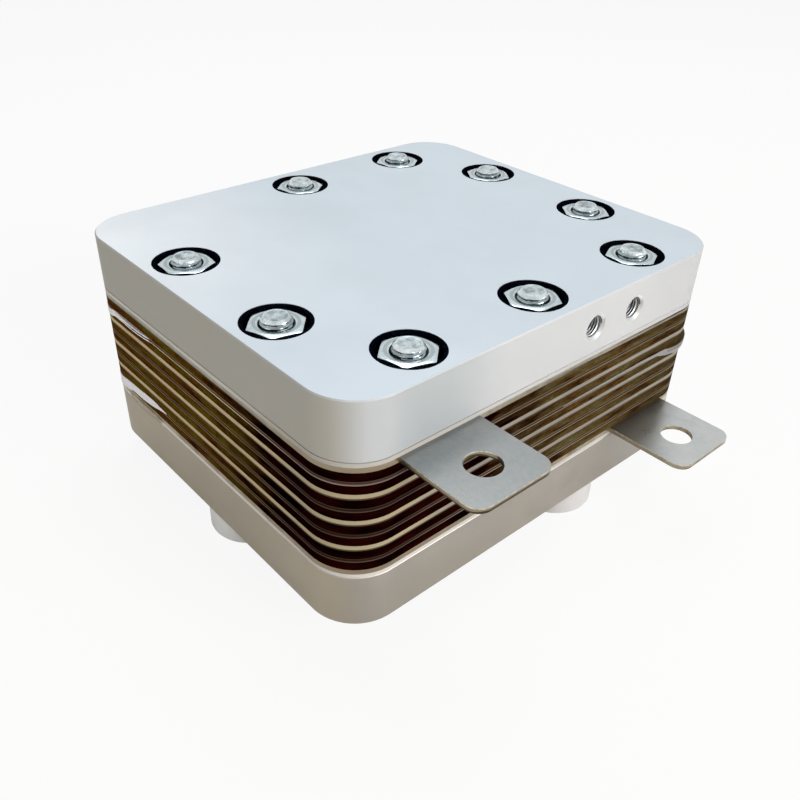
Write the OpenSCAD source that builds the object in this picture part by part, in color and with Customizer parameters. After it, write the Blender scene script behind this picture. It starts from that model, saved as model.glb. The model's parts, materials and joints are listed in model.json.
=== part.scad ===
// Water electrolyser stack of four cells, clamped between two end plates.
// The front, with the threaded ports and the terminal tabs, faces -Y. The feet stand on z = 0.

/* [Plates] */
// Width of the end plates and of every plate between them
plate_w = 136; // [130:1:170]
// Depth of the plates, front to back
plate_d = 120.5; // [116:0.5:150]
// Radius of the plates' round corners
plate_r = 13.5; // [8:0.5:16]
// Thickness of each end plate
end_t = 15.9; // [14.9:0.1:24]
// Bevel along the edges of the end plates
end_bevel = 0.3; // [0.2:0.1:1.2]

/* [Cells] */
// Thickness of one cell frame
frame_t = 2.4; // [1.8:0.1:4]
// Thickness of one bipolar plate
bipolar_t = 1.6; // [1.3:0.1:3]
// Thickness of one membrane
membrane_t = 0.45; // [0.2:0.05:1]
// Thickness of one seal sheet
seal_t = 0.35; // [0.2:0.05:1]
// How far a membrane's edge lies inside the plates' edge
membrane_inset = 0.4; // [0.2:0.1:1.5]
// How far the untrimmed stretches of a seal sheet stand out
lip = 0.8; // [0.3:0.1:1.2]
// Width of the active window
window_w = 72; // [60:1:76]
// Depth of the active window
window_d = 60; // [50:1:62]
// Corner radius of the active window
window_r = 4; // [2:0.5:8]
// Gap between a transport layer and its window
felt_gap = 0.3; // [0.1:0.05:0.6]

/* [Flow field] */
// Width of a flow channel
channel_w = 2; // [1:0.1:3]
// Width of the rib between two channels
rib_w = 2; // [1:0.1:3]
// Depth of a flow channel
channel_depth = 0.5; // [0.2:0.05:0.55]
// Diameter of the manifold holes through the stack
manifold_d = 5; // [3:0.1:6]
// Land between the active window and a manifold hole
manifold_land = 5; // [4:0.1:6]
// Width of the slot from a manifold hole into the window
feed_w = 3.4; // [2:0.1:4.8]

/* [Collectors and tabs] */
// Thickness of each current collector and its tab
collector_t = 1.4; // [1.1:0.1:2.5]
// Thickness of the insulating sheet at each end plate
insulator_t = 1.1; // [0.5:0.1:2]
// Width of a terminal tab
tab_w = 24.6; // [18:0.2:30]
// How far the upper tab stands out of the front
top_tab_reach = 23.5; // [20:0.1:35]
// How far the lower tab stands out of the front
bottom_tab_reach = 24.6; // [20:0.1:35]
// Radius of the tab's outer corners
tab_r = 3.9; // [1:0.1:6]
// Diameter of the hole in a tab
tab_hole_d = 9; // [5:0.1:11]
// Distance from the tab's end to the centre of its hole
tab_hole_inset = 10.4; // [8:0.1:12]

/* [Studs and nuts] */
// Distance from the plates' edges to the stud axes
stud_inset = 11.5; // [11:0.1:13]
// Spacing of the studs along each side
stud_pitch = 41; // [38:0.5:43]
// Diameter of the studs
stud_d = 7.9; // [6:0.1:8.2]
// Depth that a stud screws into the bottom plate
stud_grip = 12.5; // [8:0.1:13]
// How far a stud stands out of its nut
stud_proud = 1.8; // [0.8:0.1:4]
// Bevel at the ends of a stud
stud_bevel = 0.8; // [0.4:0.1:1.5]
// Width of a nut across its flats
nut_af = 13; // [11:0.1:13.4]
// Height of a nut
nut_h = 6.5; // [5:0.1:8]
// How far a nut's top lies below the top plate's face
nut_recess = 0.3; // [0.2:0.1:2]
// Outer diameter of a washer
washer_d = 15; // [13:0.1:15.5]
// Thickness of a washer
washer_t = 1.6; // [1:0.1:2]

/* [Insulating cups] */
// Diameter of the counterbores in the top plate
counterbore_d = 17.6; // [17.2:0.1:18]
// Wall of the cup in a counterbore
cup_wall = 0.9; // [0.6:0.05:1]
// Floor of the cup under the washer
cup_floor = 0.8; // [0.5:0.05:1.2]
// Depth of the cup's rim below the top plate's face
cup_recess = 0.1; // [0.1:0.05:0.8]
// Wall of the sleeve along the stud
sleeve_wall = 0.9; // [0.5:0.05:1.2]

/* [Ports] */
// Distance between the two ports of a side
port_pitch = 16.4; // [15.6:0.1:17]
// Distance of the port axes below the top plate's face
port_drop = 8.3; // [7:0.1:9]
// Diameter of the ports' thread
port_d = 6; // [4:0.1:6.2]
// Depth of the ports' thread
port_depth = 10; // [7:0.1:12]
// Diameter of the countersink at a port's mouth
port_mouth_d = 7.5; // [6.8:0.1:8.5]
// Diameter of the drilled way from a port to its manifold
drill_d = 4; // [2.5:0.1:4.4]
// Width of a sealing ring's groove
ring_w = 1.8; // [1.2:0.1:2.2]
// Depth of a sealing ring's groove
ring_depth = 1.3; // [0.8:0.05:1.6]

/* [Feet] */
// Diameter of a foot
foot_d = 24.4; // [20:0.1:25]
// Height of a foot
foot_h = 8.6; // [8:0.1:20]
// Distance from the plate's edge to a foot's centre
foot_inset = 12.6; // [12.6:0.1:18]
// Distance of the two right feet from the middle of the plate
foot_x = 22; // [18:0.5:25]
// Radius round the lower edge of a foot
foot_round = 0.5; // [0.3:0.1:2.5]
// Diameter of the foot screws
foot_screw_d = 4.9; // [3:0.1:5]
// Depth that a foot screw reaches into the bottom plate
foot_screw_grip = 8; // [5:0.1:10]
// Diameter of a foot screw's head
foot_head_d = 8.5; // [7:0.1:9]
// Height of a foot screw's head
foot_head_h = 5; // [3:0.1:5.2]
// Width across the flats of the socket in a screw's head
foot_socket_af = 4; // [2.5:0.1:5]

/* [Hidden] */
cells = 4;

// Clearance of a piece that slides over or into another
slide_fit = 0.05;
// Clearance of the sleeves in the holes of the stack
hole_fit = 0.2;
// Extra length of a cut past the face that it opens
over = 1;
// Angle of the bevels on the nuts' corners
nut_bevel_angle = 12;
// Diameter of the round bearing face of a nut, as a share of its width
nut_face_share = 0.95;
// Countersink at the nuts' threads
nut_countersink = 0.5;
// Depth of a tapped hole past the end of its screw
tap_run_out = 1;
// Gap between a foot screw's head and its recess
head_gap = 0.5;
// Depth of a foot screw's head below the foot's lower face
head_recess = 0.6;
// Depth of the socket, as a share of the head's height
socket_share = 0.5;
// Cells whose seals are untrimmed, at the left edge and at the front right corner
side_lip_cell = 4;
corner_lip_cell = 3;
// Length of the long untrimmed stretch, and its middle, measured from the back edge
side_lip_l = 22;
side_lip_back = 26;
// Land between a manifold passage and its ring's groove
ring_land = 1;
// Land between the flow field and the edge of the window
field_land = 2;

// Heights of the layers, from the feet up
z_stack = foot_h + end_t;
cell_t = 2 * frame_t + 2 * seal_t + membrane_t;
cell_pitch = cell_t + bipolar_t;
z_first_cell = z_stack + insulator_t + collector_t;
z_top_collector = z_first_cell + cells * cell_pitch - bipolar_t;
z_top_plate = z_top_collector + collector_t + insulator_t;
z_top = z_top_plate + end_t;
z_port = z_top - port_drop;

// Sizes that follow from the fits
stud_r = stud_d / 2;
tapped_r = stud_r + slide_fit;
sleeve_r = tapped_r + slide_fit + sleeve_wall;
counterbore_depth = cup_floor + washer_t + nut_h + nut_recess;
z_cup = z_top - counterbore_depth;
z_nut = z_cup + cup_floor + washer_t;
manifold_y = window_d / 2 + manifold_land + manifold_d / 2;
foot_recess_depth = foot_head_h + head_recess;
foot_recess_r = foot_head_d / 2 + head_gap;

// The tabs make the front longer, so the middle of the whole part lies in front of the plates' middle
y_shift = max(top_tab_reach, bottom_tab_reach) / 2;

// Stud places round the plates, anticlockwise from the front left one; the back left place is bare
stud_x = plate_w / 2 - stud_inset;
stud_y = plate_d / 2 - stud_inset;
stud_places = [
    [-stud_pitch, -stud_y], [0, -stud_y], [stud_pitch, -stud_y],
    [stud_x, -stud_pitch / 2], [stud_x, stud_pitch / 2],
    [stud_pitch, stud_y], [0, stud_y],
    [-stud_x, stud_pitch / 2], [-stud_x, -stud_pitch / 2]
];
// Turn of each nut as it was left by the spanner, in the same order
nut_turns = [42, 58, 24, 52, 55, 36, 38, 27, 47];

// Ports and manifolds: [side of the row, distance from the middle of the plate]
port_near_x = stud_pitch / 2 - port_pitch / 2;
port_far_x = stud_pitch / 2 + port_pitch / 2;
anode_places = [[port_near_x, -manifold_y], [-port_near_x, manifold_y]];
cathode_places = [[port_far_x, -manifold_y], [-port_far_x, manifold_y]];
manifold_places = concat(anode_places, cathode_places);

foot_places = [
    [foot_inset - plate_w / 2, 0],
    [foot_x, foot_inset - plate_d / 2],
    [foot_x, plate_d / 2 - foot_inset]
];

$fn = 96;

// Outlines

module rounded_rect(w, d, r) {
    square([w - 2 * r, d], center = true);
    square([w, d - 2 * r], center = true);
    for (sx = [-1, 1], sy = [-1, 1])
        translate([sx * (w / 2 - r), sy * (d / 2 - r)]) circle(r);
}

module plate_outline() {
    rounded_rect(plate_w, plate_d, plate_r);
}

module window_outline(gap = 0) {
    rounded_rect(window_w - 2 * gap, window_d - 2 * gap, window_r - gap);
}

module at(places) {
    for (p = places) translate([p[0], p[1]]) children();
}

module sleeve_holes() {
    at(stud_places) circle(sleeve_r + hole_fit);
}

module manifold_holes() {
    at(manifold_places) circle(manifold_d / 2);
}

// Removes a 45 degree bevel of leg c along the whole outline at z = 0
module outline_bevel(c) {
    section = [[-c, -over], [-c, 0], [over, c + over], [over, -over]];
    for (side = [0, 1]) {
        length = side == 0 ? plate_w - 2 * plate_r : plate_d - 2 * plate_r;
        reach = side == 0 ? plate_d / 2 : plate_w / 2;
        for (turn = [0, 180])
            rotate([0, 0, turn + side * 90])
                translate([-length / 2, -reach, 0])
                    rotate([90, 0, 90])
                        mirror([1, 0, 0])
                            linear_extrude(length) polygon(section);
    }
    for (sx = [0, 1], sy = [0, 1])
        mirror([sx, 0, 0])
            mirror([0, sy, 0])
                translate([plate_w / 2 - plate_r, plate_d / 2 - plate_r, 0])
                    rotate_extrude(angle = 90)
                        translate([plate_r, 0]) polygon(section);
}

module bevelled_plate() {
    difference() {
        linear_extrude(end_t) plate_outline();
        outline_bevel(end_bevel);
        translate([0, 0, end_t]) mirror([0, 0, 1]) outline_bevel(end_bevel);
    }
}

// End plates

module bottom_end_plate() {
    color([0.80, 0.79, 0.76])
        translate([0, 0, foot_h])
            difference() {
                bevelled_plate();
                at(stud_places)
                    translate([0, 0, end_t - stud_grip - tap_run_out])
                        cylinder(r = tapped_r, h = stud_grip + tap_run_out + over);
                at(foot_places)
                    translate([0, 0, -over])
                        cylinder(r = foot_screw_d / 2 + slide_fit, h = foot_screw_grip + tap_run_out + over);
            }
}

// One port, along +Y from the front face at y = 0 to its passage down into the stack
module port_way() {
    way_l = plate_d / 2 - manifold_y;
    mouth_depth = (port_mouth_d - port_d) / 2;
    rotate([-90, 0, 0]) {
        cylinder(d = port_d, h = port_depth);
        cylinder(d = drill_d, h = way_l);
        translate([0, 0, -over])
            cylinder(d1 = port_mouth_d + 2 * over, d2 = port_d, h = mouth_depth + over);
    }
}

module ring_groove(gap) {
    inner = manifold_d / 2 + ring_land;
    rotate_extrude()
        translate([inner + gap, -over])
            square([ring_w - 2 * gap, ring_depth + over]);
}

module top_end_plate() {
    color([0.86, 0.89, 0.92])
        difference() {
            translate([0, 0, z_top_plate]) bevelled_plate();
            at(stud_places) {
                translate([0, 0, z_cup]) cylinder(d = counterbore_d, h = counterbore_depth + over);
                translate([0, 0, z_top_plate - over]) cylinder(r = sleeve_r + slide_fit, h = end_t);
            }
            at(manifold_places) {
                translate([0, 0, z_top_plate - over])
                    cylinder(d = manifold_d, h = z_port - z_top_plate + over);
                translate([0, 0, z_top_plate]) ring_groove(0);
            }
            for (turn = [0, 180], x = [port_near_x, port_far_x])
                rotate([0, 0, turn])
                    translate([x, -plate_d / 2, z_port]) port_way();
        }
}

// Sealing rings round the passages, pressed flat between the top plate and its insulator
module ring_seals() {
    section_r = ring_w / 2 - slide_fit;
    color([0.08, 0.08, 0.08])
        at(manifold_places)
            translate([0, 0, z_top_plate])
                rotate_extrude()
                    translate([manifold_d / 2 + ring_land + ring_w / 2, ring_depth / 2])
                        intersection() {
                            circle(section_r, $fn = 32);
                            square([2 * section_r, ring_depth - slide_fit], center = true);
                        }
}

// Collectors and insulators

module bottom_insulator() {
    color([0.88, 0.87, 0.87])
        translate([0, 0, z_stack])
            linear_extrude(insulator_t)
                difference() {
                    union() {
                        plate_outline();
                        side_lip();
                    }
                    sleeve_holes();
                }
}

module top_insulator() {
    color([0.88, 0.87, 0.87])
        translate([0, 0, z_top_plate - insulator_t])
            linear_extrude(insulator_t)
                difference() {
                    plate_outline();
                    sleeve_holes();
                    manifold_holes();
                }
}

// Plate with its tab under the front stud of the given side, -1 left or 1 right
module collector_outline(side, reach) {
    difference() {
        union() {
            plate_outline();
            translate([side * stud_pitch, -plate_d / 2]) tab_outline(reach);
        }
        translate([side * stud_pitch, -plate_d / 2 - reach + tab_hole_inset]) circle(d = tab_hole_d);
        sleeve_holes();
    }
}

module tab_outline(reach) {
    corner_x = tab_w / 2 - tab_r;
    translate([-tab_w / 2, tab_r - reach]) square([tab_w, reach]);
    translate([-corner_x, -reach]) square([2 * corner_x, tab_r + over]);
    for (sx = [-1, 1])
        translate([sx * corner_x, tab_r - reach]) circle(tab_r);
}

module bottom_collector() {
    color([0.66, 0.66, 0.64])
        translate([0, 0, z_stack + insulator_t])
            difference() {
                linear_extrude(collector_t) collector_outline(1, bottom_tab_reach);
                translate([0, 0, collector_t - channel_depth]) flow_field();
            }
}

module top_collector() {
    color([0.66, 0.66, 0.64])
        translate([0, 0, z_top_collector])
            difference() {
                linear_extrude(collector_t)
                    difference() {
                        collector_outline(-1, top_tab_reach);
                        manifold_holes();
                    }
                translate([0, 0, channel_depth]) mirror([0, 0, 1]) flow_field();
            }
}

// Cells, counted from the bottom

// One winding channel over the window, to be cut from z = 0 up to a face at z = channel_depth
module flow_field() {
    pitch = channel_w + rib_w;
    run = window_w - 2 * field_land;
    passes = floor((window_d - 2 * field_land + rib_w) / pitch);
    first_y = -(passes - 1) * pitch / 2;
    linear_extrude(channel_depth + over)
        for (i = [0 : passes - 1]) {
            y = first_y + i * pitch;
            translate([-run / 2, y - channel_w / 2]) square([run, channel_w]);
            if (i < passes - 1) {
                side = i % 2 == 0 ? 1 : -1;
                translate([side * (run - channel_w) / 2 - channel_w / 2, y])
                    square([channel_w, pitch]);
            }
        }
}

module bipolar_plate(below) {
    color([0.62, 0.58, 0.48])
        translate([0, 0, z_cell(below) + cell_t])
            difference() {
                linear_extrude(bipolar_t)
                    difference() {
                        plate_outline();
                        sleeve_holes();
                        manifold_holes();
                    }
                translate([0, 0, channel_depth]) mirror([0, 0, 1]) flow_field();
                translate([0, 0, bipolar_t - channel_depth]) flow_field();
            }
}

function z_cell(cell) = z_first_cell + (cell - 1) * cell_pitch;

// Slots that lead from two manifold holes into the window, half way through a frame
module feed_slots(places) {
    for (p = places)
        translate([p[0] - feed_w / 2, p[1] < 0 ? p[1] : window_d / 2 - window_r, -over])
            cube([feed_w, abs(p[1]) - window_d / 2 + window_r, frame_t / 2 + over]);
}

module frame(places) {
    difference() {
        linear_extrude(frame_t)
            difference() {
                plate_outline();
                window_outline();
                sleeve_holes();
                manifold_holes();
            }
        feed_slots(places);
    }
}

module anode_frame(cell) {
    color([0.30, 0.20, 0.08])
        translate([0, 0, z_cell(cell)]) frame(anode_places);
}

module cathode_frame(cell) {
    color([0.30, 0.20, 0.08])
        translate([0, 0, z_cell(cell) + cell_t]) mirror([0, 0, 1]) frame(cathode_places);
}

// Porous layer that fills a window down to the membrane
module felt() {
    linear_extrude(frame_t + seal_t) window_outline(felt_gap);
}

module anode_felt(cell) {
    color([0.55, 0.55, 0.56])
        translate([0, 0, z_cell(cell)]) felt();
}

module cathode_felt(cell) {
    color([0.18, 0.18, 0.19])
        translate([0, 0, z_cell(cell) + cell_t]) mirror([0, 0, 1]) felt();
}

// Shallow bulge of the left edge near the back
module side_lip() {
    bulge_r = (pow(side_lip_l / 2, 2) + pow(lip, 2)) / (2 * lip);
    translate([bulge_r - lip - plate_w / 2, plate_d / 2 - side_lip_back])
        intersection() {
            circle(bulge_r);
            translate([-bulge_r, -side_lip_l / 2]) square([2 * lip, side_lip_l]);
        }
}

// Wider front right corner
module corner_lip() {
    translate([plate_w / 2 - plate_r, plate_r - plate_d / 2]) circle(plate_r + lip);
}

module seal(cell) {
    linear_extrude(seal_t)
        difference() {
            union() {
                plate_outline();
                if (cell == side_lip_cell) side_lip();
                if (cell == corner_lip_cell) corner_lip();
            }
            window_outline();
            sleeve_holes();
            manifold_holes();
        }
}

module anode_seal(cell) {
    color([0.90, 0.89, 0.88])
        translate([0, 0, z_cell(cell) + frame_t]) seal(cell);
}

module cathode_seal(cell) {
    color([0.90, 0.89, 0.88])
        translate([0, 0, z_cell(cell) + cell_t - frame_t - seal_t]) seal(cell);
}

module membrane(cell) {
    color([0.35, 0.28, 0.22])
        translate([0, 0, z_cell(cell) + frame_t + seal_t])
            linear_extrude(membrane_t)
                difference() {
                    rounded_rect(plate_w - 2 * membrane_inset, plate_d - 2 * membrane_inset,
                                 plate_r - membrane_inset);
                    sleeve_holes();
                    manifold_holes();
                }
}

// Studs, nuts and their insulation

// Cup in the counterbore, in one piece with the sleeve that follows the stud down to the bottom plate
module insulating_sleeves() {
    cup_r = counterbore_d / 2 - slide_fit;
    bore_r = sleeve_r - sleeve_wall;
    z_rim = z_top - cup_recess;
    color([0.06, 0.06, 0.06])
        at(stud_places)
            rotate_extrude()
                polygon([
                    [bore_r, z_stack], [sleeve_r, z_stack], [sleeve_r, z_cup], [cup_r, z_cup],
                    [cup_r, z_rim], [cup_r - cup_wall, z_rim],
                    [cup_r - cup_wall, z_cup + cup_floor], [bore_r, z_cup + cup_floor]
                ]);
}

module washers() {
    color([0.74, 0.75, 0.77])
        at(stud_places)
            translate([0, 0, z_cup + cup_floor])
                difference() {
                    cylinder(d = washer_d, h = washer_t);
                    translate([0, 0, -over])
                        cylinder(r = tapped_r + slide_fit, h = washer_t + 2 * over);
                }
}

module nut() {
    corner_r = nut_af / 2 / cos(30);
    face_r = nut_af / 2 * nut_face_share;
    bevel_h = (corner_r - face_r) * tan(nut_bevel_angle);
    difference() {
        intersection() {
            cylinder(r = corner_r, h = nut_h, $fn = 6);
            rotate_extrude()
                polygon([[0, 0], [face_r, 0], [corner_r, bevel_h], [corner_r, nut_h - bevel_h],
                         [face_r, nut_h], [0, nut_h]]);
        }
        translate([0, 0, -over]) cylinder(r = tapped_r, h = nut_h + 2 * over);
        translate([0, 0, nut_h - nut_countersink])
            cylinder(r1 = tapped_r, r2 = tapped_r + nut_countersink + over, h = nut_countersink + over);
    }
}

module nuts() {
    color([0.80, 0.82, 0.84])
        for (i = [0 : len(stud_places) - 1])
            translate([stud_places[i][0], stud_places[i][1], z_nut])
                rotate([0, 0, nut_turns[i]]) nut();
}

module studs() {
    z_end = z_nut + nut_h + stud_proud;
    z_start = z_stack - stud_grip;
    color([0.76, 0.78, 0.80])
        at(stud_places)
            rotate_extrude()
                polygon([
                    [0, z_start], [stud_r - stud_bevel, z_start], [stud_r, z_start + stud_bevel],
                    [stud_r, z_end - stud_bevel], [stud_r - stud_bevel, z_end], [0, z_end]
                ]);
}

// Feet

module feet() {
    foot_r = foot_d / 2;
    color([0.93, 0.93, 0.94])
        at(foot_places)
            difference() {
                rotate_extrude() {
                    square([foot_r - foot_round, foot_h]);
                    translate([0, foot_round]) square([foot_r, foot_h - foot_round]);
                    translate([foot_r - foot_round, foot_round]) circle(foot_round);
                }
                translate([0, 0, -over]) cylinder(r = foot_recess_r, h = foot_recess_depth + over);
                translate([0, 0, -over]) cylinder(r = foot_screw_d / 2 + slide_fit, h = foot_h + 2 * over);
            }
}

module foot_screws() {
    color([0.70, 0.71, 0.73])
        at(foot_places)
            translate([0, 0, head_recess])
                difference() {
                    union() {
                        cylinder(d = foot_head_d, h = foot_head_h);
                        cylinder(d = foot_screw_d, h = foot_h + foot_screw_grip - head_recess);
                    }
                    translate([0, 0, -over])
                        cylinder(d = foot_socket_af / cos(30), h = foot_head_h * socket_share + over, $fn = 6);
                }
}

translate([0, y_shift, 0]) {
    feet();
    foot_screws();
    bottom_end_plate();
    bottom_insulator();
    bottom_collector();
    for (i = [1 : cells]) {
        anode_frame(i);
        anode_felt(i);
        anode_seal(i);
        membrane(i);
        cathode_seal(i);
        cathode_felt(i);
        cathode_frame(i);
    }
    for (i = [1 : cells - 1])
        bipolar_plate(i);
    top_collector();
    top_insulator();
    ring_seals();
    top_end_plate();
    insulating_sleeves();
    washers();
    nuts();
    studs();
}
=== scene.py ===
"""Looks of the water electrolyser stack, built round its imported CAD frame."""
import json
import math

import bpy
from mathutils import Matrix, Vector


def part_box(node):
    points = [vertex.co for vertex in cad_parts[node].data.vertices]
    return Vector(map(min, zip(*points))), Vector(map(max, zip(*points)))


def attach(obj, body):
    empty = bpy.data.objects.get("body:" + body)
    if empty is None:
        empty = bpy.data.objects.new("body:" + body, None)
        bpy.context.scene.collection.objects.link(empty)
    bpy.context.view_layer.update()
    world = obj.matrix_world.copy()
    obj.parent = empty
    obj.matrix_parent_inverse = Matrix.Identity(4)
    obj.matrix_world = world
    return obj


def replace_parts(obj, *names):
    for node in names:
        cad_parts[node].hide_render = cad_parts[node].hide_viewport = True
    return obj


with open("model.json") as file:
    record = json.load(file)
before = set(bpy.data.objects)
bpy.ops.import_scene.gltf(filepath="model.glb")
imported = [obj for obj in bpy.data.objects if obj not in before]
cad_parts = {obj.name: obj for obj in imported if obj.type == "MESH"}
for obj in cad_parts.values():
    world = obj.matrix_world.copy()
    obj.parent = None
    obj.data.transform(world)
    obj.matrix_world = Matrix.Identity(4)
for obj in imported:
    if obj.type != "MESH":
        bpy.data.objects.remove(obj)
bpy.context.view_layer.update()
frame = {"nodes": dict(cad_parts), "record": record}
nodes = frame["nodes"]

MM = 0.001
CELLS = 4
PLATE_LOW, PLATE_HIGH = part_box("top_end_plate")
PLATES_MID_Y = (PLATE_LOW.y + PLATE_HIGH.y) / 2
PLATE_CORNER_MM = 13.5
SEAL_LIP_MM = 0.8


# Node helpers

class Nodes:
    """A node tree with short calls for the nodes that the materials and the world use."""

    def __init__(self, tree):
        self.tree = tree

    def add(self, kind):
        return self.tree.nodes.new(kind)

    def link(self, a, b):
        self.tree.links.new(a, b)

    def fill(self, slot, value):
        """A number, a colour or a link goes into a slot."""
        if isinstance(value, tuple):
            slot.default_value = (*value, 1)
        elif isinstance(value, (int, float)):
            slot.default_value = value
        else:
            self.link(value, slot)

    def maths(self, kind, a, b=0.0):
        n = self.add("ShaderNodeMath")
        n.operation = kind
        self.fill(n.inputs[0], a)
        self.fill(n.inputs[1], b)
        return n.outputs["Value"]

    def plus(self, a, b):
        return self.maths("ADD", a, b)

    def times(self, a, b):
        return self.maths("MULTIPLY", a, b)

    def larger(self, a, b):
        return self.maths("MAXIMUM", a, b)

    def mix(self, share, a, b):
        n = self.add("ShaderNodeMix")
        n.data_type = "RGBA"
        self.fill(n.inputs["Factor"], share)
        self.fill(n.inputs["A"], a)
        self.fill(n.inputs["B"], b)
        return n.outputs["Result"]

    def remap(self, value, low, high, to_low, to_high):
        n = self.add("ShaderNodeMapRange")
        n.inputs["From Min"].default_value = low
        n.inputs["From Max"].default_value = high
        n.inputs["To Min"].default_value = to_low
        n.inputs["To Max"].default_value = to_high
        self.link(value, n.inputs["Value"])
        return n.outputs["Result"]

    def rise(self, value, low, high, share=1.0):
        """0 below low, the share above high."""
        return self.remap(value, low, high, 0.0, share)

    def fall(self, value, low, high, share=1.0):
        """The share below low, 0 above high."""
        return self.remap(value, low, high, share, 0.0)


class Shader(Nodes):
    """A material whose patterns and places are those of the object, in metres."""

    def __init__(self, name):
        self.material = bpy.data.materials.new(name)
        self.material.use_nodes = True
        super().__init__(self.material.node_tree)
        self.bsdf = self.tree.nodes["Principled BSDF"]
        self.place = self.add("ShaderNodeTexCoord").outputs["Object"]

    def stretch(self, x, y, z, turn=0.0):
        """Places scaled along each axis, so that a pattern becomes longer where the factor is small."""
        n = self.add("ShaderNodeMapping")
        n.inputs["Rotation"].default_value = (0, 0, turn)
        n.inputs["Scale"].default_value = (x, y, z)
        self.link(self.place, n.inputs["Vector"])
        return n.outputs["Vector"]

    def noise(self, scale, detail=2.0, rough=0.5, at=None, distortion=0.0):
        n = self.add("ShaderNodeTexNoise")
        n.inputs["Scale"].default_value = scale
        n.inputs["Detail"].default_value = detail
        n.inputs["Roughness"].default_value = rough
        n.inputs["Distortion"].default_value = distortion
        self.link(at or self.place, n.inputs["Vector"])
        return n.outputs["Fac"]

    def ramp(self, value, stops):
        """Colours along a value. Stops are (position, colour)."""
        n = self.add("ShaderNodeValToRGB")
        marks = n.color_ramp.elements
        while len(marks) < len(stops):
            marks.new(0.5)
        for mark, (position, tone) in zip(marks, stops):
            mark.position = position
            mark.color = (*tone, 1)
        self.link(value, n.inputs["Fac"])
        return n.outputs["Color"]

    def mottle(self, pattern, first, second, low=0.35, high=0.65):
        """Two tones in patches, the second where the pattern is high."""
        return self.mix(self.rise(pattern, low, high), first, second)

    def part(self, vector, name):
        n = self.add("ShaderNodeSeparateXYZ")
        self.link(vector, n.inputs["Vector"])
        return n.outputs[name]

    def axis(self, name):
        """One coordinate of the place."""
        return self.part(self.place, name)

    def facing(self, name):
        """One component of the surface's own normal."""
        return self.part(self.add("ShaderNodeNewGeometry").outputs["Normal"], name)

    def left(self):
        """1 on surfaces that face -X, 0 from the middle of the front corner on."""
        return self.fall(self.facing("X"), -0.9, -0.5)

    def from_corner(self):
        """The place's x + y, which is about -0.108 at the front left corner and grows away from it."""
        return self.plus(self.axis("X"), self.axis("Y"))

    def above(self, z):
        return self.maths("SUBTRACT", self.axis("Z"), z)

    def colour(self, value):
        self.link(value, self.bsdf.inputs["Base Color"])

    def roughness(self, value):
        self.link(value, self.bsdf.inputs["Roughness"])

    def rough_by(self, pattern, low, high):
        """Roughness that follows a pattern."""
        self.roughness(self.remap(pattern, 0.3, 0.7, low, high))

    def bump(self, height, strength, distance):
        n = self.add("ShaderNodeBump")
        n.inputs["Strength"].default_value = strength
        n.inputs["Distance"].default_value = distance
        self.link(height, n.inputs["Height"])
        self.link(n.outputs["Normal"], self.bsdf.inputs["Normal"])

    def fixed(self, **values):
        for name, value in values.items():
            self.bsdf.inputs[name.replace("_", " ")].default_value = value


# End plates

def end_plate_front(s, clouds, front, tab_reflection_tone, far):
    """Front tone: a painted reflection of the nearby tab beside the left corner, painted shade far right, and
    the darkest painted shade round the right corner.
    """
    # Painted reflection of the nearby tab, in a patch beside the left corner.
    aside = s.maths("ABSOLUTE", s.plus(s.axis("X"), 0.044))
    patch = s.fall(s.plus(aside, s.times(clouds, 0.02)), 0.014, 0.036, 0.8)
    front = s.mix(patch, front, tab_reflection_tone)
    # Painted shade far right.
    front = s.mix(s.rise(s.axis("X"), 0.020, 0.060), front, far)
    # Painted shade round the right corner.
    return s.mix(s.rise(s.facing("X"), 0.56, 0.74, 0.7), front, (0.16, 0.16, 0.16))


def end_plate_material(name, top, front, left, metal, tab_reflection_tone, far):
    """Satin aluminium: fine blasted grain and faint clouds, with top, front and left tones that are painted
    light and shade, painted shade on the rougher upper bevels at the left, painted light on the lower bevels
    and a painted reflection on the top towards the left back.
    """
    s = Shader(name)
    clouds = s.noise(28, 3, 0.55)
    grain = s.noise(5200, 1.5, 0.6)
    up = s.facing("Z")
    on_top = s.rise(up, 0.90, 0.99)
    # Top, front and left tones are painted light and shade.
    sides = s.mix(s.left(), end_plate_front(s, clouds, front, tab_reflection_tone, far), left)
    # Painted shade on the upper bevels that face left; they are rougher too.
    bevel = s.times(s.rise(up, 0.2, 0.5), s.fall(up, 0.90, 0.99))
    bevel = s.times(bevel, s.fall(s.facing("X"), -0.62, -0.45))
    sides = s.mix(s.times(bevel, 0.15), sides, (0.16, 0.15, 0.14))
    # Painted light on the downward bevels right of the middle.
    under = s.times(s.fall(up, -0.5, -0.2), s.rise(up, -0.95, -0.85))
    sides = s.mix(s.times(under, s.rise(s.axis("X"), -0.02, 0.01)), sides, (0.95, 0.95, 0.95))
    tone = s.mix(on_top, sides, top)
    # Painted reflection: the top grows paler towards the left back.
    painted_top_reflection = s.times(s.fall(s.axis("X"), -0.068, -0.010), s.rise(s.axis("Y"), -0.020, 0.060))
    tone = s.mix(s.times(painted_top_reflection, on_top), tone, (0.82, 0.85, 0.87))
    tone = s.mix(s.rise(clouds, 0.36, 0.64, 0.12), tone, (0.40, 0.43, 0.46))
    s.colour(s.mix(s.rise(grain, 0.3, 0.7, 0.08), tone, (0.42, 0.43, 0.44)))
    rubbed = s.noise(95, 4, 0.6, at=s.stretch(1, 0.55, 1, 0.5))
    s.roughness(s.plus(s.remap(rubbed, 0.35, 0.7, 0.42, 0.52), s.times(bevel, 0.3)))
    s.bump(grain, 0.10, 0.03 * MM)
    s.fixed(Metallic=metal)
    return s.material


# Collectors

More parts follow.
